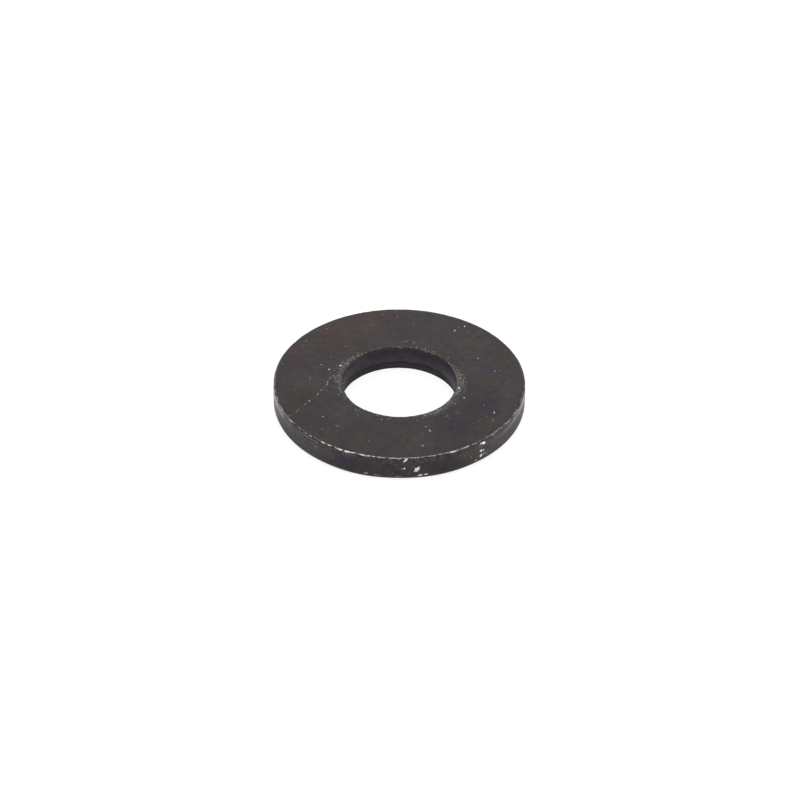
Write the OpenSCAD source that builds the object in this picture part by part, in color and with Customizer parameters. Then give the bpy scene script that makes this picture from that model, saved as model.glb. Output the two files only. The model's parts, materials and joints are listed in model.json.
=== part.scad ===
// Plain flat washer, punched from steel sheet, narrow series for a 1/4 in bolt.
// +Z runs along the hole. The bottom face lies on Z = 0, with the hole's axis through the origin.
// The hole was pierced from the top face, so its top rim is rolled over and its bottom is torn wider.
// The outside was blanked the other way up, so its bottom rim is rolled over and its top band is torn.

/* [Washer] */
// Outside diameter, 5/8 in
outer_d = 15.88; // [15.75:0.01:16.25]
// Diameter of the hole's smooth wall, just under the nominal 9/32 in
bore_d = 7.06; // [7.01:0.01:7.52]
// Thickness over the flat faces, 0.065 in
thickness = 1.65; // [1.3:0.01:2.03]

/* [Hole rims] */
// Radius of the rolled-over rim round the hole on the top face
hole_roll_r = 0.24; // [0.05:0.01:0.3]
// Share of the thickness that is torn at the bottom of the hole
hole_torn_share = 0.3; // [0.15:0.01:0.45]
// How much wider the hole's radius is at the bottom of the torn part
hole_flare = 0.13; // [0.02:0.01:0.2]

/* [Outside rims] */
// Radius of the rolled-over rim round the outside on the bottom face
rim_roll_r = 0.3; // [0.1:0.01:0.4]
// Share of the thickness that is torn at the top of the outside
rim_torn_share = 0.22; // [0.1:0.01:0.35]
// How far the torn part leans in towards the top face
rim_lean = 0.02; // [0.01:0.01:0.1]
// Width of the worn corner between the torn part and the top face
rim_worn = 0.04; // [0.02:0.01:0.1]

/* [Smoothness] */
// Segments in a full turn
turn_segments = 180; // [96:12:360]
// Segments in a full circle of a rolled rim
rim_segments = 96; // [48:12:180]

/* [Hidden] */
outer_r = outer_d / 2;
bore_r = bore_d / 2;
top_r = outer_r - rim_lean;
hole_torn_h = thickness * hole_torn_share;
rim_torn_h = thickness * rim_torn_share;
blackened_steel = [0.29, 0.275, 0.28];
spare = 0.1;

// One side of the washer's section before its rims are rolled over: X is the radius, Y the height
module sharp_section() {
  polygon([
    [bore_r + hole_flare, 0],
    [outer_r, 0],
    [outer_r, thickness - rim_torn_h],
    [top_r, thickness - rim_worn],
    [top_r - rim_worn, thickness],
    [bore_r, thickness],
    [bore_r, hole_torn_h]
  ]);
}

// What rolling a rim to radius r takes off a square corner that points at the origin
module rim_waste(r) {
  difference() {
    translate([-spare, -spare]) square(r + spare);
    translate([r, r]) circle(r = r, $fn = rim_segments);
  }
}

module hole_roll_waste() {
  translate([bore_r, thickness]) mirror([0, 1]) rim_waste(hole_roll_r);
}

module rim_roll_waste() {
  translate([outer_r, 0]) mirror([1, 0]) rim_waste(rim_roll_r);
}

module rolled_section() {
  difference() {
    sharp_section();
    hole_roll_waste();
    rim_roll_waste();
  }
}

module washer() {
  color(blackened_steel) rotate_extrude($fn = turn_segments) rolled_section();
}

washer();
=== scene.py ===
"""A punched steel flat washer with a thin black finish, lying on a white table in soft light.

The script's own lengths are millimetres, and become metres in the meshes. +Z runs along the hole,
angles turn counter-clockwise about it from +X, and the camera is in front, on the side of -Y."""

import json
import math

import bpy
import numpy as np
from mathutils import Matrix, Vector


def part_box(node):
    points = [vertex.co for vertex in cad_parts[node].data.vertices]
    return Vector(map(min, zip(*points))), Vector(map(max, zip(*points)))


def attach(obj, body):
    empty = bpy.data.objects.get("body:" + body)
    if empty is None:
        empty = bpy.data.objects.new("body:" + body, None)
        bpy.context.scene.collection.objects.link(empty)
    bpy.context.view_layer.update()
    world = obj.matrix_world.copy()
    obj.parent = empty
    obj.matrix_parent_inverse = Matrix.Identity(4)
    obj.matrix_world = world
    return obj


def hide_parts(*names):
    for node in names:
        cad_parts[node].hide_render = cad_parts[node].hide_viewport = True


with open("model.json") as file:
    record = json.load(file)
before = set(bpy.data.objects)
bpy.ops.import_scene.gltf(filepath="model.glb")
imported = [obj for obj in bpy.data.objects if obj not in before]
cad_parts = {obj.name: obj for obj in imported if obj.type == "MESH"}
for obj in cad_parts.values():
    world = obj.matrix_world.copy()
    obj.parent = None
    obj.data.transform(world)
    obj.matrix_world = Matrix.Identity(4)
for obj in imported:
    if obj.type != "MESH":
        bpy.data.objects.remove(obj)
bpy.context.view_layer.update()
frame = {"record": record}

MM = 0.001
LOW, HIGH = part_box("washer")
THICK = (HIGH.z - LOW.z) / MM
OUTER_R = max(HIGH.x - LOW.x, HIGH.y - LOW.y) / 2 / MM
BORE = next(m for m in frame["record"]["mounts"] if m["name"] == "bore")
BORE_R = BORE["dims"]["r_mm"]

# Rims of the section, the same punched shape as the CAD node's: how far the hole's top rim and the
# outside's bottom rim are rolled over, the heights where their smooth walls end and tear, how much the
# hole widens below that, how far the outside leans in above it, and how wide its top corner is worn
HOLE_ROLL = 0.24
HOLE_TORN_Z = 0.3 * THICK
HOLE_FLARE = 0.13
RIM_ROLL = 0.3
RIM_TORN_Z = 0.78 * THICK
RIM_LEAN = 0.02
RIM_WORN = 0.04

# Steps round the washer
SEGMENTS = 720

# How far each surface's roughness lies below the even section on average, and how deep the chips go
FACE_LUMPS = 0.003
WALL_STREAKS = 0.005
HOLE_TORN_GRAINS = 0.014
RIM_TORN_GRAINS = 0.008
HOLE_RIM_GRAINS = 0.009
OUTER_RIM_GRAINS = 0.003
CORNER_CHIPS = 0.015

# The directions from the axis, in degrees, in which the outside's top corner is rounded and rubbed most
ROUNDED_SIDE = -100
RUBBED_SIDE = -95

# Dents and rubs on the outside wall, and painted glints: angle, height, length, width, tilt in degrees,
# depth, brightness
WALL_MARKS = [
    # The front: a nick below the top corner, a small star, a pair of dents and two dashes under them
    (-87.0, 1.50, 0.40, 0.11, 42, 0.035, 0.70),
    (-87.5, 0.90, 0.14, 0.08, 70, 0.012, 0.55),
    (-88.5, 0.85, 0.10, 0.06, 0, 0.006, 0.30),
    (-82.5, 0.75, 0.34, 0.12, 70, 0.025, 1.00),
    (-81.5, 0.80, 0.42, 0.20, 64, 0.030, 1.00),
    (-80.5, 0.32, 0.34, 0.08, 5, 0.010, 0.85),
    (-78.0, 0.34, 0.30, 0.07, 5, 0.010, 0.80),
    # Painted glints along the rolled rim, drawn as bright bare metal in faint dents
    (-104.5, 0.33, 0.26, 0.08, 0, 0.010, 0.36),
    (-100.0, 0.31, 0.60, 0.05, 0, 0.006, 0.18),
    (-90.0, 0.29, 0.50, 0.05, 0, 0.006, 0.24),
    # Faint smears high up
    (-134.0, 1.47, 1.90, 0.07, 0, 0.004, 0.09),
    (-112.5, 1.48, 1.10, 0.05, 0, 0.004, 0.07),
    (-164.0, 1.38, 3.20, 0.36, 0, 0.003, 0.07),
    (-14.0, 1.42, 2.40, 0.24, 3, 0.003, 0.08),
    (-29.0, 1.24, 3.40, 0.20, 6, 0.003, 0.05),
    # A column of dents at the front right
    (-50.5, 1.45, 0.16, 0.13, 0, 0.030, 0.85),
    (-49.0, 1.42, 0.28, 0.18, -35, 0.035, 1.00),
    (-50.5, 0.92, 0.20, 0.14, 20, 0.020, 1.00),
    (-49.0, 0.85, 0.16, 0.13, 60, 0.020, 0.70),
    (-49.0, 0.60, 0.16, 0.12, 50, 0.020, 0.60),
    (-50.5, 0.55, 0.20, 0.17, 40, 0.020, 1.00),
    (-53.5, 0.37, 0.16, 0.11, 20, 0.010, 0.35),
    # The back and the sides
    (62.0, 0.95, 0.40, 0.12, 35, 0.025, 0.60),
    (118.0, 1.25, 0.30, 0.12, -40, 0.025, 0.55),
    (154.0, 0.62, 0.36, 0.08, 12, 0.015, 0.45),
    (20.0, 1.10, 0.26, 0.10, 70, 0.020, 0.45),
]

# Bright dashes where the outside's top corner is rubbed: angle, length, brightness
EDGE_RUBS = [
    (-163.0, 2.20, 0.26),
    (-150.5, 1.70, 0.18),
    (-146.0, 0.50, 0.24),
    (-140.5, 0.40, 0.14),
    (-133.0, 0.30, 0.16),
    (-126.5, 0.36, 0.55),
    (-123.0, 0.40, 0.75),
    (-117.5, 0.40, 1.00),
    (-113.5, 0.50, 1.00),
    (-109.5, 0.70, 0.65),
    (-106.0, 0.46, 0.90),
    (-102.5, 0.60, 0.65),
    (-99.0, 0.40, 0.60),
    (-91.5, 0.46, 0.30),
    (-76.0, 0.36, 0.32),
    (-70.5, 0.84, 0.30),
    (-65.0, 0.32, 0.90),
    (-58.0, 0.54, 0.52),
    (-47.5, 0.40, 0.30),
    (-29.0, 1.40, 0.22),
]

# Rubs on the top face: x, y, length, width, direction in degrees, brightness
TOP_MARKS = [
    (-3.75, 1.60, 0.20, 0.15, -50, 0.50),
    (3.75, -0.65, 0.20, 0.16, 60, 0.50),
    (-4.45, 1.20, 0.22, 0.12, 80, 0.42),
    (4.20, 6.05, 0.16, 0.15, 90, 0.50),
    (3.55, 5.55, 0.26, 0.10, 62, 0.45),
    (5.90, -3.20, 0.32, 0.09, 84, 0.36),
    (5.80, -4.00, 0.60, 0.07, 84, 0.09),
    (4.05, -1.70, 0.16, 0.13, 0, 0.36),
    (1.45, -6.60, 0.15, 0.13, 0, 0.28),
    (1.90, -5.10, 0.34, 0.10, -58, 0.24),
    (1.65, -4.70, 0.15, 0.11, -58, 0.24),
    (6.05, 1.15, 0.14, 0.13, 0, 0.24),
    (-4.70, -3.75, 0.14, 0.13, 0, 0.24),
    (-4.95, 1.70, 0.15, 0.12, 0, 0.22),
    (-4.55, -0.40, 0.30, 0.09, 60, 0.24),
    (-5.10, -1.40, 0.14, 0.10, 60, 0.24),
    (-5.60, -2.15, 0.16, 0.12, 50, 0.24),
    (0.45, 4.30, 0.40, 0.08, 34, 0.16),
    (-3.80, -4.70, 0.34, 0.08, 0, 0.14),
    (2.95, -3.60, 0.36, 0.08, 20, 0.10),
    (5.00, 2.50, 0.22, 0.10, 0, 0.16),
    (-6.00, 4.30, 0.13, 0.12, 0, 0.16),
]

# The faint broken line that joins some rubs, from the outer rim in to the hole: x, y
SCRATCH_PATH = [
    (-6.95, -3.80),
    (-6.45, -3.45),
    (-6.20, -2.95),
    (-5.60, -2.15),
    (-5.15, -1.65),
    (-5.05, -1.30),
    (-4.60, -0.50),
    (-4.45, 0.15),
    (-4.20, 0.50),
]
SCRATCH_WIDTH = 0.07
SCRATCH_SHINE = 0.24

# Dull pits in the top face: x, y, length, width, direction in degrees, darkness
PITS = [
    (-5.65, -4.60, 0.26, 0.20, 0, 0.45),
    (-5.15, -5.20, 0.30, 0.18, -30, 0.45),
    (-5.95, -3.95, 0.24, 0.18, 0, 0.45),
    (-6.85, -2.75, 0.22, 0.16, 40, 0.45),
    (5.10, 4.90, 0.36, 0.18, 0, 0.45),
    (4.65, 5.45, 0.26, 0.16, 60, 0.45),
    (6.00, -3.50, 0.50, 0.12, 84, 0.45),
    (-2.90, -3.40, 0.30, 0.20, 20, 0.35),
    (2.20, -6.20, 0.34, 0.22, 0, 0.35),
]

# Soft stains on the top face, among them painted light that makes the back lighter and painted shade
# that makes
# the front right darker: x, y, radius, colour that the finish is multiplied by
TOP_STAINS_AND_LIGHT = [
    (-2.0, 6.0, 2.6, (1.17, 1.00, 0.93)),
    (-4.0, 5.0, 2.2, (1.12, 0.98, 0.93)),
    (-6.5, 2.5, 1.8, (1.02, 0.90, 0.97)),
    (6.0, 3.0, 1.6, (1.16, 1.02, 0.98)),
    (5.5, 1.0, 1.4, (0.98, 0.95, 1.08)),
    (4.4, -0.8, 1.1, (1.00, 1.06, 0.88)),
    (4.5, 4.0, 2.4, (1.10, 1.10, 1.12)),
    (5.0, -2.0, 2.0, (0.88, 0.85, 0.93)),
    (3.5, -4.5, 2.2, (0.84, 0.81, 0.90)),
    (6.0, -4.5, 1.2, (1.06, 1.05, 0.98)),
    (7.0, -1.0, 1.4, (1.12, 1.12, 1.10)),
    (-2.5, -3.5, 1.4, (0.94, 1.03, 1.02)),
    (-4.0, -4.5, 1.0, (1.00, 0.98, 1.12)),
    (-6.0, -2.0, 1.6, (0.94, 0.92, 0.86)),
    (-5.0, 0.0, 1.0, (1.02, 1.03, 0.94)),
    (-5.5, -5.0, 1.2, (1.02, 1.00, 0.90)),
    (-2.0, -7.0, 1.0, (1.12, 0.98, 0.94)),
    (0.0, -6.5, 1.6, (1.00, 0.98, 0.90)),
]

# Soft stains on the outside wall, among them painted reflection that makes patches high up lighter and
# painted
# shade that makes patches low down darker: angle, height, radius across, radius up, colour as above
WALL_STAINS_AND_LIGHT = [
    (-172, 1.0, 2.0, 1.2, (1.40, 1.39, 1.38)),
    (-156, 0.2, 2.4, 0.8, (0.50, 0.50, 0.53)),
    (-135, 1.2, 3.4, 1.4, (1.24, 1.23, 1.23)),
    (-112, 0.7, 1.7, 0.9, (0.98, 0.92, 1.08)),
    (-94, 0.9, 1.2, 0.9, (0.98, 0.98, 0.88)),
    (-69, 0.8, 1.5, 0.8, (0.98, 0.90, 1.06)),
    (-47, 1.0, 2.8, 1.2, (1.42, 1.40, 1.38)),
    (-17, 0.3, 2.4, 0.8, (0.50, 0.50, 0.51)),
    (-30, 1.5, 2.0, 0.7, (1.30, 1.28, 1.27)),
]


# ---- Noise ----

def lattice(x, y, z, seed):
    """A repeatable number from 0 to 1 at each point of a whole-number grid."""
    n = (x * 73856093) ^ (y * 19349663) ^ (z * 83492791) ^ (seed * 15485863)
    n = (n ^ (n >> 13)) * 1274126177
    return ((n ^ (n >> 16)) & 0xFFFFFF) / 0xFFFFFF


def noise(points, cell, seed):
    """Smooth noise from -1 to 1 at points of shape (..., 3), with features about one cell across."""
    p = points / np.asarray(cell, float)
    base = np.floor(p).astype(np.int64)
    f = p - base
    f = f * f * (3 - 2 * f)
    total = 0
    for corner in np.ndindex(2, 2, 2):
        share = np.prod(np.where(corner, f, 1 - f), axis=-1)
        at = base + np.array(corner)
        total = total + share * lattice(at[..., 0], at[..., 1], at[..., 2], seed)
    return 2 * total - 1


def ring_noise(turn, radius, cell, seed):
    """Noise along a circle, which meets itself where the circle closes."""
    circle = np.stack([radius * np.cos(turn), radius * np.sin(turn), np.zeros_like(turn)], -1)
    return noise(circle, cell, seed)


def ramp(low, high, x):
    """0 below low, 1 above high and smooth between them."""
    s = np.clip((x - low) / (high - low), 0, 1)
    return s * s * (3 - 2 * s)


def turned(turn, angle):
    """How far each angle in radians is past one in degrees, the short way round."""
    return (turn - math.radians(angle) + math.pi) % (2 * math.pi) - math.pi


# ---- The washer's mesh ----

def steps(count, ease=0.0):
    """Steps from 0 up to but not including 1, closer together at both ends as ease nears 1."""
    s = np.arange(count) / count
    return (s * (1 - ease) + (0.5 - 0.5 * np.cos(math.pi * s)) * ease)[:, None]


def straight(start, end, count, ease=0.0):
    """Rings along a straight stretch of the section, with the radii and heights of its ends."""
    s = steps(count, ease)
    return start[0] + (end[0] - start[0]) * s, start[1] + (end[1] - start[1]) * s


def rolled(centre, radius, start, count):
    """Rings along a quarter circle of the section that begins at the angle start, in degrees."""
    a = np.radians(start) + math.pi / 2 * steps(count)
    return centre[0] + radius * np.cos(a), centre[1] + radius * np.sin(a)


def section(turn):
    """Radii and heights of every ring at every angle, and the zone that each ring is in.

    The rings run once round the section: out along the bottom face, up the outside, in along the
    top face and down the hole."""
    even = np.zeros_like(turn)
    wavy = ring_noise(turn, OUTER_R, 2.5, 1)
    ragged = ring_noise(turn, OUTER_R, 0.35, 2)
    fine = ring_noise(turn, OUTER_R, 0.12, 3)
    rim_roll = RIM_ROLL * (1 + 0.12 * wavy)
    rim_torn = RIM_TORN_Z + 0.06 * wavy + 0.05 * ragged + 0.02 * fine
    front = ramp(-0.3, 0.8, np.cos(turn - math.radians(ROUNDED_SIDE)))
    worn = RIM_WORN * (0.7 + 0.7 * front + 0.3 * ragged + 0.15 * fine)
    hole_wavy = ring_noise(turn, BORE_R, 1.4, 4)
    hole_ragged = ring_noise(turn, BORE_R, 0.22, 5)
    hole_roll = HOLE_ROLL * (1 + 0.15 * hole_wavy + 0.05 * hole_ragged)
    hole_torn = HOLE_TORN_Z + 0.05 * hole_wavy + 0.035 * hole_ragged
    flare = HOLE_FLARE * (1 - 0.1 * np.abs(hole_wavy) - 0.08 * np.abs(hole_ragged))
    outer, bore, top = even + OUTER_R, even + BORE_R, even + THICK
    lean = outer - RIM_LEAN * (0.8 + 0.8 * front)
    stretches = [
        ("bottom", straight((bore + flare, even), (outer - rim_roll, even), 13, 0.5)),
        ("rim_roll", rolled((outer - rim_roll, rim_roll), rim_roll, -90, 12)),
        ("rim_wall", straight((outer, rim_roll), (outer, rim_torn), 19)),
        ("rim_torn", straight((outer, rim_torn), (lean, top - worn), 9)),
        ("rim_worn", rolled((lean - worn, top - worn), worn, 0, 6)),
        ("top", straight((lean - worn, top), (bore + hole_roll, top), 36, 0.7)),
        ("hole_roll", rolled((bore + hole_roll, top - hole_roll), hole_roll, 90, 13)),
        ("hole_wall", straight((bore, top - hole_roll), (bore, hole_torn), 16)),
        ("hole_torn", straight((bore, hole_torn), (bore + flare, even), 12)),
    ]
    zones = np.concatenate([[name] * len(rings[0]) for name, rings in stretches])
    radii = np.concatenate([rings[0] for name, rings in stretches])
    heights = np.concatenate([rings[1] for name, rings in stretches])
    return radii, heights, zones


def section_normals(radii, heights):
    """Outward directions across the section, as radial and upward parts."""
    out = np.roll(radii, -1, 0) - np.roll(radii, 1, 0)
    up = np.roll(heights, -1, 0) - np.roll(heights, 1, 0)
    length = np.hypot(out, up)
    return up / length, -out / length


def within(zones, *names):
    """1 for each ring that is in one of the named zones, 0 for the others, as a column."""
    return np.isin(zones, names)[:, None].astype(float)


def wall_mark_masks(turn, radii, heights):
    """Each dent's cover of every point, 1 inside it and 0 outside, with its depth and brightness."""
    on_wall = ramp(OUTER_R - 0.5, OUTER_R - 0.2, radii)
    for angle, height, length, width, tilt, depth, shine in WALL_MARKS:
        across, up = turned(turn, angle) * OUTER_R, heights - height
        slope = math.radians(tilt)
        along = across * math.cos(slope) + up * math.sin(slope)
        aside = up * math.cos(slope) - across * math.sin(slope)
        reach = np.hypot(along / (length / 2), aside / (width / 2))
        yield (1 - ramp(0.55, 1.1, reach)) * on_wall, depth, shine


def relief(points, turn, radii, heights, zones):
    """How far each point stands below the even surface, in millimetres."""
    streaks = noise(points, (0.06, 0.06, 1.6), 11) + 0.6 * noise(points, (0.2, 0.2, 3.0), 12)
    grains = noise(points, 0.09, 13) + 0.6 * noise(points, 0.045, 14)
    lumps = noise(points, 0.8, 15) + 0.5 * noise(points, 0.35, 16)
    round_hole = within(zones, "top") * (1 - ramp(BORE_R + 0.25, BORE_R + 0.75, radii))
    near_rim = within(zones, "top") * ramp(OUTER_R - 0.35, OUTER_R - 0.1, radii)
    lumpy, streaky, grainy = 1 + lumps / 1.5, 1 + streaks / 1.6, 1 + grains / 1.6
    low = FACE_LUMPS * lumpy * within(zones, "top", "bottom")
    low = low + WALL_STREAKS * streaky * within(zones, "rim_wall", "hole_wall")
    low = low + HOLE_TORN_GRAINS * grainy * within(zones, "hole_torn")
    low = low + RIM_TORN_GRAINS * grainy * within(zones, "rim_torn")
    low = low + HOLE_RIM_GRAINS * grainy * (within(zones, "hole_roll") + round_hole)
    low = low + OUTER_RIM_GRAINS * grainy * (within(zones, "rim_roll", "rim_worn") + near_rim)
    chips = ramp(0.4, 0.8, ring_noise(turn, OUTER_R, 0.16, 17))
    low = low + CORNER_CHIPS * chips * within(zones, "rim_worn")
    for mask, depth, _ in wall_mark_masks(turn, radii, heights):
        low = low + depth * mask * (1 + 0.4 * noise(points, 0.05, 18))
    return low


def bare_metal(turn, radii, heights):
    """How far the outside and its top corner show bare metal at each point, from 0 to 1.

    Mostly this is finish rubbed off; the glints along the rolled rim are painted as bare metal.
    """
    jagged = ring_noise(turn, OUTER_R, 0.25, 24) + 0.8 * ring_noise(turn, OUTER_R, 0.1, 25)
    corner_r = OUTER_R - RIM_LEAN - 0.05 + 0.03 * jagged
    corner_z = THICK - 0.012
    from_corner = np.hypot(radii - corner_r, heights - corner_z)
    close = 1 - ramp(0.01, 0.055 + 0.02 * jagged, from_corner)
    front = np.cos(turn - math.radians(RUBBED_SIDE))
    faint = 0.05 + 0.25 * ramp(-0.2, 0.6, front)
    uneven = ring_noise(turn, OUTER_R, 0.4, 21) + ring_noise(turn, OUTER_R, 0.13, 22)
    bare_share = faint * ramp(-1.1, 0.9, uneven)
    frayed = 1 + 0.6 * ring_noise(turn, OUTER_R, 0.1, 23)
    for angle, length, shine in EDGE_RUBS:
        away = np.abs(turned(turn, angle)) * OUTER_R / (length / 2)
        dash = 1 - ramp(0.5, 1.0, away * frayed)
        bare_share = np.maximum(bare_share, dash * shine * ramp(-1.5, 0.4, uneven))
    bare = close * bare_share
    for mask, _, shine in wall_mark_masks(turn, radii, heights):
        bare = np.maximum(bare, mask * shine)
    return bare


def placed(turn, radii, heights):
    """The points at these angles, radii and heights."""
    return np.stack([radii * np.cos(turn), radii * np.sin(turn), heights + 0 * turn], -1)


def ring_faces(rings):
    """Quads that join each ring of points to the next one, and the last one to the first."""
    ring, step = np.meshgrid(np.arange(rings), np.arange(SEGMENTS), indexing="ij")
    next_ring, next_step = (ring + 1) % rings, (step + 1) % SEGMENTS
    corners = [(ring, step), (ring, next_step), (next_ring, next_step), (next_ring, step)]
    return np.stack([r * SEGMENTS + s for r, s in corners], -1).reshape(-1, 4)


def make_washer():
    """The washer's one closed mesh, with its relief cut into the even section."""
    turn = np.linspace(-math.pi, math.pi, SEGMENTS, endpoint=False)
    radii, heights, zones = section(turn)
    out, up = section_normals(radii, heights)
    low = relief(placed(turn, radii, heights), turn, radii, heights, zones)
    points = placed(turn, radii - low * out, heights - low * up).reshape(-1, 3) * MM
    mesh = bpy.data.meshes.new("washer_steel")
    mesh.from_pydata(points.tolist(), [], ring_faces(len(zones)).tolist())
    mesh.polygons.foreach_set("use_smooth", np.ones(len(mesh.polygons), bool))
    paint(mesh, turn, radii, heights, zones)
    mesh.update()
    washer = bpy.data.objects.new("washer_steel", mesh)
    bpy.context.collection.objects.link(washer)
    return washer


def paint(mesh, turn, radii, heights, zones):
    """Stores a colour at each point: red for bare metal, green in the hole, blue on the outside wall."""
    rolled_in = within(zones, "hole_roll") * ramp(0.03, 0.12, THICK - heights)
    colours = np.ones((len(zones), len(turn), 4))
    colours[..., 0] = bare_metal(turn, radii, heights)
    colours[..., 1] = within(zones, "hole_wall", "hole_torn") + rolled_in
    colours[..., 2] = within(zones, "rim_roll", "rim_wall", "rim_torn")
    zone_map = mesh.color_attributes.new("zone_map", "FLOAT_COLOR", "POINT")
    zone_map.data.foreach_set("color", np.clip(colours, 0, 1).astype(np.float32).ravel())


# ---- Materials ----

# The black finish: its ground, its warm, cool and olive patches, and how the outside wall differs
FINISH = (0.0358, 0.0298, 0.0302, 1)
FINISH_WARM = (0.0392, 0.0305, 0.0290, 1)
FINISH_COOL = (0.0318, 0.0276, 0.0332, 1)
FINISH_OLIVE = (0.0328, 0.0300, 0.0274, 1)
WALL_TINT = (1.30, 1.34, 1.36, 1)

# The hole's wall: its smooth part high up; low down and at the left, made lighter with painted light;
# low down at the right, lighter still with painted light; then its torn part in the middle, and at the
# sides, made darker with painted shade; and the dark line between the two parts
BORE_SMOOTH = (0.0515, 0.045, 0.056, 1)
BORE_LIT_LOW_AND_LEFT = (0.069, 0.061, 0.0755, 1)
BORE_LIT_LOW_RIGHT = (0.098, 0.087, 0.098, 1)
BORE_TORN = (0.046, 0.040, 0.0465, 1)
BORE_TORN_SHADED_SIDES = (0.024, 0.021, 0.0265, 1)
BORE_LINE = (0.025, 0.022, 0.028, 1)

PIT_BLACK = (0.012, 0.011, 0.011, 1)
BARE_STEEL = (0.90, 0.885, 0.87, 1)
WHITE = (1, 1, 1, 1)
TABLE_GREY = (0.3, 0.3, 0.3, 1)
TABLE_GLOW = 0.82


class Tree:
    """A material's nodes. Inputs are given by name or number, as values or as other nodes' outputs."""

    def __init__(self, name):
        self.material = bpy.data.materials.new(name)
        self.material.use_nodes = True
        self.nodes = self.material.node_tree.nodes
        self.links = self.material.node_tree.links
        self.nodes.clear()

    def node(self, kind, inputs=(), **settings):
        """A new node with its settings made and its inputs filled in or linked."""
        node = self.nodes.new("ShaderNode" + kind)
        for key, value in settings.items():
            setattr(node, key, value)
        for key, value in dict(inputs).items():
            if isinstance(value, bpy.types.NodeSocket):
                self.links.new(value, node.inputs[key])
            else:
                node.inputs[key].default_value = value
        return node

    def add(self, kind, inputs=(), output=0, **settings):
        """One output of a new node."""
        return self.node(kind, inputs, **settings).outputs[output]

    def math(self, operation, *values):
        return self.add("Math", dict(enumerate(values)), operation=operation)

    def plus(self, a, b):
        return self.math("ADD", a, b)

    def minus(self, a, b):
        return self.math("SUBTRACT", a, b)

    def times(self, first, *others):
        for other in others:
            first = self.math("MULTIPLY", first, other)
        return first

    def largest(self, first, *others):
        for other in others:
            first = self.math("MAXIMUM", first, other)
        return first

    def ramp(self, low, high, value):
        """0 at low, 1 at high and smooth between them, whichever of the two is larger."""
        ends = {"From Min": low, "From Max": high, "Value": value}
        return self.add("MapRange", ends, interpolation_type="SMOOTHSTEP")

    def spread(self, value, to_low, to_high, low=0.3, high=0.7):
        """A steady change from to_low to to_high as the value, usually noise, goes from low to high."""
        ends = {"From Min": low, "From Max": high, "To Min": to_low, "To Max": to_high, "Value": value}
        return self.add("MapRange", ends)

    def noise(self, at, per_mm, detail):
        """Smooth noise from 0 to 1, and mostly from 0.3 to 0.7."""
        return self.add("TexNoise", {"Vector": at, "Scale": per_mm, "Detail": detail})

    def shifted(self, at, by):
        """The place moved away by some millimetres, where noise has nothing to do with noise here."""
        return self.add("VectorMath", {0: at, 1: by}, operation="ADD")

    def mix(self, share, a, b):
        """The colour a, turning into b as the share goes from 0 to 1."""
        return self.add("Mix", {0: share, 6: a, 7: b}, 2, data_type="RGBA")

    def scaled(self, colour, by):
        """The colour multiplied by another one."""
        return self.add("Mix", {0: 1.0, 6: colour, 7: by}, 2, data_type="RGBA", blend_type="MULTIPLY")

    def blob(self, at, centre, turn, size):
        """1 at the centre of an ellipsoid and 0 at its outline."""
        where = {"Vector": at, "Location": centre, "Rotation": (0, 0, turn), "Scale": size}
        inside = self.add("Mapping", where, vector_type="TEXTURE")
        return self.add("TexGradient", {"Vector": inside}, 1, gradient_type="SPHERICAL")


def marks(tree, at, places):
    """Each mark on the top face, from 0 at its outline to its own strength near its middle."""
    total = 0.0
    for x, y, length, width, direction, strength in places:
        one = tree.blob(at, (x, y, THICK), math.radians(direction), (length / 2, width / 2, 0.1))
        total = tree.largest(total, tree.times(tree.ramp(0.0, 0.5, one), strength))
    return total


def scratch(tree, at, radius):
    """The long scratch: one thin rub between each two points of its path, fainter further out."""
    parts = []
    for (x0, y0), (x1, y1) in zip(SCRATCH_PATH, SCRATCH_PATH[1:]):
        length = 1.2 * math.hypot(x1 - x0, y1 - y0)
        direction = math.degrees(math.atan2(y1 - y0, x1 - x0))
        parts.append(((x0 + x1) / 2, (y0 + y1) / 2, length, SCRATCH_WIDTH, direction, SCRATCH_SHINE))
    gaps = tree.ramp(0.44, 0.60, tree.noise(at, 4.2, 3.0))
    fading = tree.spread(radius, 1.0, 0.4, 5.2, 7.2)
    return tree.times(marks(tree, at, parts), gaps, fading)


def jittered(tree, at):
    """Places moved a little at random, so that outlines drawn on them are ragged."""
    wander = tree.add("TexNoise", {"Vector": at, "Scale": 9.0, "Detail": 2.0}, "Color")
    shift = tree.shifted(wander, (-0.5, -0.5, -0.5))
    return tree.add("VectorMath", {0: shift, 1: (0.12, 0.12, 0.12), 2: at}, operation="MULTIPLY_ADD")


def specks(tree, at, radius):
    """Pin-prick pale specks, sparse all over and crowded round the hole's rim."""
    crowd = tree.times(tree.ramp(BORE_R + 0.95, BORE_R + 0.3, radius), 0.3)
    chance = tree.plus(crowd, 0.03)
    cells = tree.node("TexVoronoi", {"Vector": at, "Scale": 5.5})
    draw = tree.add("SeparateColor", {0: cells.outputs["Color"]})
    chosen = tree.ramp(0.0, 0.03, tree.minus(chance, draw))
    dot = tree.ramp(0.34, 0.14, cells.outputs["Distance"])
    return tree.times(chosen, dot, 0.16)


def radial_streaks(tree, at, per_mm):
    """Noise that is drawn out along lines from the hole's axis."""
    heading = tree.add("VectorMath", {0: at, 1: (1, 1, 0)}, operation="MULTIPLY")
    heading = tree.add("VectorMath", {0: heading}, operation="NORMALIZE")
    spokes = tree.add("VectorMath", {0: heading, "Scale": 2.4}, operation="SCALE")
    stretched = tree.add("VectorMath", {0: at, 1: (0.5, 0.5, 0.5), 2: spokes}, operation="MULTIPLY_ADD")
    return tree.noise(stretched, per_mm, 5.0)


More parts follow.
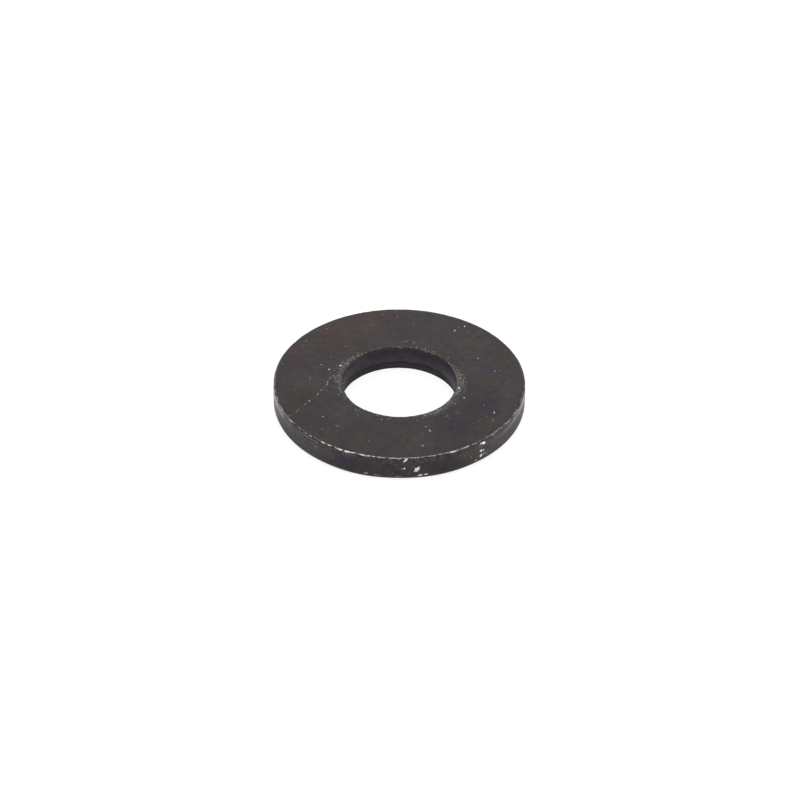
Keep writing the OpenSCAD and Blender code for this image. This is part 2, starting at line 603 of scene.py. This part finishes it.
def worn_ring(tree, at, radius, z):
    """A frayed pale ring round the hole, broadest at the left, right and front right."""
    left = tree.blob(at, (-3.7, 1.0, THICK), math.radians(78), (2.9, 1.5, 1.0))
    right = tree.blob(at, (3.9, -0.1, THICK), math.radians(90), (2.5, 1.4, 1.0))
    front_right = tree.blob(at, (2.9, -2.7, THICK), math.radians(45), (2.8, 1.7, 1.0))
    broad = tree.ramp(0.0, 0.7, tree.largest(left, right, front_right))
    ragged = tree.spread(tree.noise(at, 5.0, 5.0), -0.36, 0.36)
    reach = tree.plus(tree.times(broad, 0.26), BORE_R + HOLE_ROLL + 0.07)
    reach = tree.plus(reach, tree.times(ragged, tree.plus(tree.times(broad, 0.8), 0.2)))
    outside = tree.ramp(-0.04, 0.14, tree.minus(reach, radius))
    start = tree.minus(BORE_R + 0.10, tree.times(broad, 0.07))
    band = tree.times(outside, tree.ramp(0.0, 0.08, tree.minus(radius, start)))
    streaks = tree.ramp(0.44, 0.68, radial_streaks(tree, at, 6.5))
    grains = tree.ramp(0.40, 0.62, tree.noise(at, 8.0, 3.0))
    streaks = tree.times(streaks, grains, 0.12)
    sparks = tree.times(tree.ramp(0.60, 0.68, tree.noise(at, 7.0, 3.0)), 0.17)
    streaks = tree.plus(tree.largest(streaks, sparks), 0.004)
    worn = tree.times(band, tree.plus(streaks, tree.times(broad, 0.016)))
    lip = tree.ramp(0.06, 0.02, tree.math("ABSOLUTE", tree.minus(radius, BORE_R + 0.14)))
    lip = tree.times(lip, tree.ramp(0.1, 0.5, right), 0.08)
    return tree.times(tree.largest(worn, lip), tree.ramp(THICK - 0.24, THICK - 0.12, z))


def bore_colour(tree, at, x, z):
    """The hole's wall: bluish where it is smooth, with a dark ragged line above the torn part.

    Painted light makes the smooth part lighter low down and at both sides; painted shade darkens the
    torn part at the sides.
    """
    # Painted light: the smooth part is lighter low down, as if lit by the table below, and at the left
    # side
    left = tree.ramp(-0.5, -3.2, x)
    low = tree.ramp(THICK - 0.2, HOLE_TORN_Z + 0.15, z)
    colour = tree.mix(tree.largest(left, low), BORE_SMOOTH, BORE_LIT_LOW_AND_LEFT)
    # Painted light: lighter still low down at the right side
    right = tree.times(tree.ramp(2.3, 3.3, x), tree.ramp(THICK - 0.4, HOLE_TORN_Z + 0.2, z))
    colour = tree.mix(right, colour, BORE_LIT_LOW_RIGHT)
    wavy = tree.spread(tree.noise(at, 2.2, 4.0), -0.12, 0.12, 0.0, 1.0)
    climb = tree.times(tree.ramp(-2.2, -3.2, x), 0.15)
    above = tree.minus(tree.plus(z, wavy), tree.plus(climb, HOLE_TORN_Z + 0.03))
    # Painted shade: the torn part is darker at both sides of the hole
    shaded_sides = tree.ramp(2.0, 3.3, tree.math("ABSOLUTE", x))
    torn_colour = tree.mix(shaded_sides, BORE_TORN, BORE_TORN_SHADED_SIDES)
    colour = tree.mix(tree.ramp(0.02, -0.06, above), colour, torn_colour)
    line = tree.ramp(0.13, 0.04, tree.math("ABSOLUTE", above))
    return tree.mix(tree.times(line, 0.75), colour, BORE_LINE)


def patchy_finish(tree, at):
    """The finish with its warm, cool and olive patches."""
    warm = tree.noise(at, 0.9, 4.0)
    cool = tree.noise(tree.shifted(at, (31, 17, 5)), 0.7, 4.0)
    olive = tree.noise(tree.shifted(at, (7, 53, 19)), 1.0, 4.0)
    colour = tree.mix(tree.ramp(0.4, 0.68, warm), FINISH, FINISH_WARM)
    colour = tree.mix(tree.ramp(0.42, 0.66, cool), colour, FINISH_COOL)
    return tree.mix(tree.times(tree.ramp(0.45, 0.7, olive), 0.7), colour, FINISH_OLIVE)


def finish_with_stains_and_light(tree, at, on_wall):
    """The patchy finish with the soft stains, painted light and painted shade of the top face and
    outside wall.
    """
    colour = patchy_finish(tree, at)
    off_wall = tree.minus(1.0, on_wall)
    # Painted light and shade among the top face's stains: lighter at the back, darker at the front right
    for x, y, across, tint in TOP_STAINS_AND_LIGHT:
        tinted_patch = tree.ramp(0.0, 0.8, tree.blob(at, (x, y, THICK), 0.0, (across, across, 1.0)))
        colour = tree.mix(tree.times(tinted_patch, off_wall), colour, tree.scaled(colour, (*tint, 1)))
    colour = tree.scaled(colour, tree.mix(on_wall, WHITE, WALL_TINT))
    # Painted light and shade among the outside wall's stains: lighter patches high up, darker ones low
    # down
    for angle, height, across, up, tint in WALL_STAINS_AND_LIGHT:
        turn = math.radians(angle)
        centre = (OUTER_R * math.cos(turn), OUTER_R * math.sin(turn), height)
        tinted_patch = tree.ramp(0.0, 0.8, tree.blob(at, centre, 0.0, (across, across, up)))
        colour = tree.mix(tree.times(tinted_patch, on_wall), colour, tree.scaled(colour, (*tint, 1)))
    return colour


def battered(tree, at, on_wall):
    """1 where the outside wall is chipped most, round its groups of dents, and 0 away from them."""
    front = tree.blob(at, (0.3, -OUTER_R, 1.0), 0.0, (1.6, 1.6, 1.0))
    front_right = tree.blob(at, (5.1, -6.1, 0.95), 0.0, (1.2, 1.2, 1.1))
    return tree.times(tree.ramp(0.0, 0.5, tree.largest(front, front_right)), on_wall)


def flecks(tree, at, chipped):
    """Small pale flecks scattered over the chipped parts of the outside wall."""
    scatter = tree.noise(tree.shifted(at, (11, 3, 29)), 5.5, 4.0)
    return tree.times(tree.ramp(0.65, 0.74, scatter), chipped, 0.3)


def unevenness(tree, at, radius, z, grain, on_wall, chipped):
    """How light or dark the finish is: grain, mottling, the rough torn band and dark grit."""
    shade = tree.spread(grain, 0.88, 1.12)
    shade = tree.times(shade, tree.spread(tree.noise(at, 2.4, 6.0), 0.86, 1.14))
    shade = tree.times(shade, tree.spread(tree.noise(at, 0.45, 3.0), 0.90, 1.11))
    torn_band = tree.times(on_wall, tree.ramp(RIM_TORN_Z - 0.06, RIM_TORN_Z + 0.06, z))
    rough = tree.spread(tree.noise(at, 5.0, 5.0), 0.6, 1.4)
    shade = tree.times(shade, tree.spread(torn_band, 1.0, rough, 0.0, 1.0))
    near_side = tree.ramp(OUTER_R - 0.3, OUTER_R - 0.1, radius)
    near_top = tree.ramp(THICK - 0.4, THICK - 0.1, z)
    gritty = tree.largest(chipped, tree.times(near_side, near_top, 0.6))
    grit = tree.times(gritty, tree.ramp(0.57, 0.68, tree.noise(at, 6.0, 5.0)))
    return tree.times(shade, tree.minus(1.0, tree.times(grit, 0.55)))


def finish_roughness(tree, at, z, grain, in_hole, on_wall, bare_share):
    """Rougher in the hole, smoother where metal is bare and in smears high up on the outside wall."""
    upright = tree.add("VectorMath", {0: at, 1: (1, 1, 0.12)}, operation="MULTIPLY")
    smeared = tree.times(on_wall, tree.ramp(RIM_TORN_Z - 0.3, RIM_TORN_Z + 0.1, z))
    smeared = tree.times(smeared, tree.spread(tree.noise(at, 1.5, 4.0), 0.5, 1.0))
    smeared = tree.times(smeared, tree.spread(tree.noise(upright, 5.0, 3.0), 0.4, 1.4))
    roughness = tree.plus(tree.spread(grain, 0.43, 0.55), tree.times(in_hole, 0.25))
    roughness = tree.minus(roughness, tree.times(smeared, 0.3))
    return tree.minus(roughness, tree.times(bare_share, 0.12))


def black_finish():
    """Steel with a thin black finish that is stained, worn round the rims and rubbed off in places.

    It carries painted light and shade on the top face, the outside wall and in the hole, and painted
    glints along the rolled rim.
    """
    tree = Tree("blackened_steel")
    place = tree.add("TexCoord", output="Object")
    at = tree.add("VectorMath", {0: place, "Scale": 1 / MM}, operation="SCALE")
    x, y, z = tree.node("SeparateXYZ", {0: at}).outputs
    radius = tree.math("SQRT", tree.plus(tree.times(x, x), tree.times(y, y)))
    zone_map = tree.add("Attribute", attribute_name="zone_map")
    bare_patches, in_hole, on_wall = tree.node("SeparateColor", {0: zone_map}).outputs
    flat_top = tree.ramp(THICK - 0.12, THICK - 0.03, z)
    ragged = jittered(tree, at)
    grain = tree.noise(at, 14.0, 3.0)
    chipped = battered(tree, at, on_wall)

    colour = tree.mix(in_hole, finish_with_stains_and_light(tree, at, on_wall), bore_colour(tree, at, x, z))
    shade = unevenness(tree, at, radius, z, grain, on_wall, chipped)
    colour = tree.scaled(colour, tree.add("CombineColor", {0: shade, 1: shade, 2: shade}))
    colour = tree.mix(tree.times(marks(tree, ragged, PITS), flat_top), colour, PIT_BLACK)

    rubs = tree.largest(marks(tree, ragged, TOP_MARKS), scratch(tree, ragged, radius))
    rubs = tree.largest(tree.times(rubs, flat_top), worn_ring(tree, at, radius, z))
    dots = tree.times(specks(tree, at, radius), tree.largest(flat_top, on_wall))
    # The bare patches hold rubbed-off finish and the painted glints along the rolled rim
    frayed = tree.times(bare_patches, tree.spread(tree.noise(at, 8.0, 4.0), 0.3, 2.2))
    frayed = tree.math("MINIMUM", frayed, 1.0)
    bare_share = tree.largest(rubs, dots, flecks(tree, at, chipped), frayed)
    colour = tree.mix(bare_share, colour, BARE_STEEL)

    roughness = finish_roughness(tree, at, z, grain, in_hole, on_wall, bare_share)
    height = tree.minus(tree.noise(at, 22.0, 3.0), tree.times(bare_share, 0.8))
    bump = tree.add("Bump", {"Strength": 0.25, "Distance": 0.006 * MM, "Height": height})
    inputs = {"Base Color": colour, "Metallic": 1.0, "Roughness": roughness, "Normal": bump}
    tree.node("OutputMaterial", {"Surface": tree.add("BsdfPrincipled", inputs)})
    return tree.material


def white_table():
    """White glowing acrylic, as on a light table for product pictures, which hides most shadow."""
    tree = Tree("white_table")
    inputs = {"Base Color": TABLE_GREY, "Roughness": 0.6, "Specular IOR Level": 0.0}
    inputs.update({"Emission Color": WHITE, "Emission Strength": TABLE_GLOW})
    tree.node("OutputMaterial", {"Surface": tree.add("BsdfPrincipled", inputs)})
    return tree.material


# ---- The scene ----

def make_table():
    """A wide table top, a hair below the washer so that their faces don't coincide."""
    half = 600 * MM
    gap = 0.002 * MM
    mesh = bpy.data.meshes.new("table")
    corners = [(-half, -half, 0), (half, -half, 0), (half, half, 0), (-half, half, 0)]
    mesh.from_pydata(corners, [], [(0, 1, 2, 3)])
    mesh.materials.append(white_table())
    table = bpy.data.objects.new("table", mesh)
    table.location.z = -gap
    bpy.context.collection.objects.link(table)


def make_light(name, place, size, watts):
    """A square soft box that faces the washer, with its place and size in millimetres."""
    lamp = bpy.data.lights.new(name, "AREA")
    lamp.energy = watts
    lamp.size = size * MM
    light = bpy.data.objects.new(name, lamp)
    light.location = Vector(place) * MM
    light.rotation_mode = "QUATERNION"
    light.rotation_quaternion = (-light.location).to_track_quat("-Z", "Y")
    bpy.context.collection.objects.link(light)


def make_tent():
    """An even white surround, and one soft box behind and above the washer."""
    world = bpy.data.worlds.new("white_tent")
    world.use_nodes = True
    background = world.node_tree.nodes["Background"]
    background.inputs["Color"].default_value = WHITE
    background.inputs["Strength"].default_value = 1.0
    bpy.context.scene.world = world
    make_light("back_soft_box", place=(-10, 150, 120), size=120, watts=0.06)


def make_camera():
    """A long lens in front of the washer and above it, aimed at its middle."""
    elevation = math.radians(36.65)
    roll = math.radians(0.44)
    distance = 20.93 * OUTER_R * MM
    data = bpy.data.cameras.new("camera")
    data.sensor_width = 36
    data.lens = 118.4
    data.shift_x = 0.0009
    data.shift_y = -0.0105
    data.clip_start = 1 * MM
    camera = bpy.data.objects.new("camera", data)
    back = Vector((0, -math.cos(elevation), math.sin(elevation)))
    camera.location = Vector((0, 0, THICK / 2 * MM)) + back * distance
    camera.rotation_euler = (math.pi / 2 - elevation, 0, 0)
    camera.rotation_euler.rotate_axis("Z", roll)
    bpy.context.collection.objects.link(camera)
    bpy.context.scene.camera = camera


washer = make_washer()
washer.data.materials.append(black_finish())
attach(washer, "root")
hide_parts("washer")
make_table()
make_tent()
make_camera()
bpy.context.scene.view_settings.view_transform = "Standard"
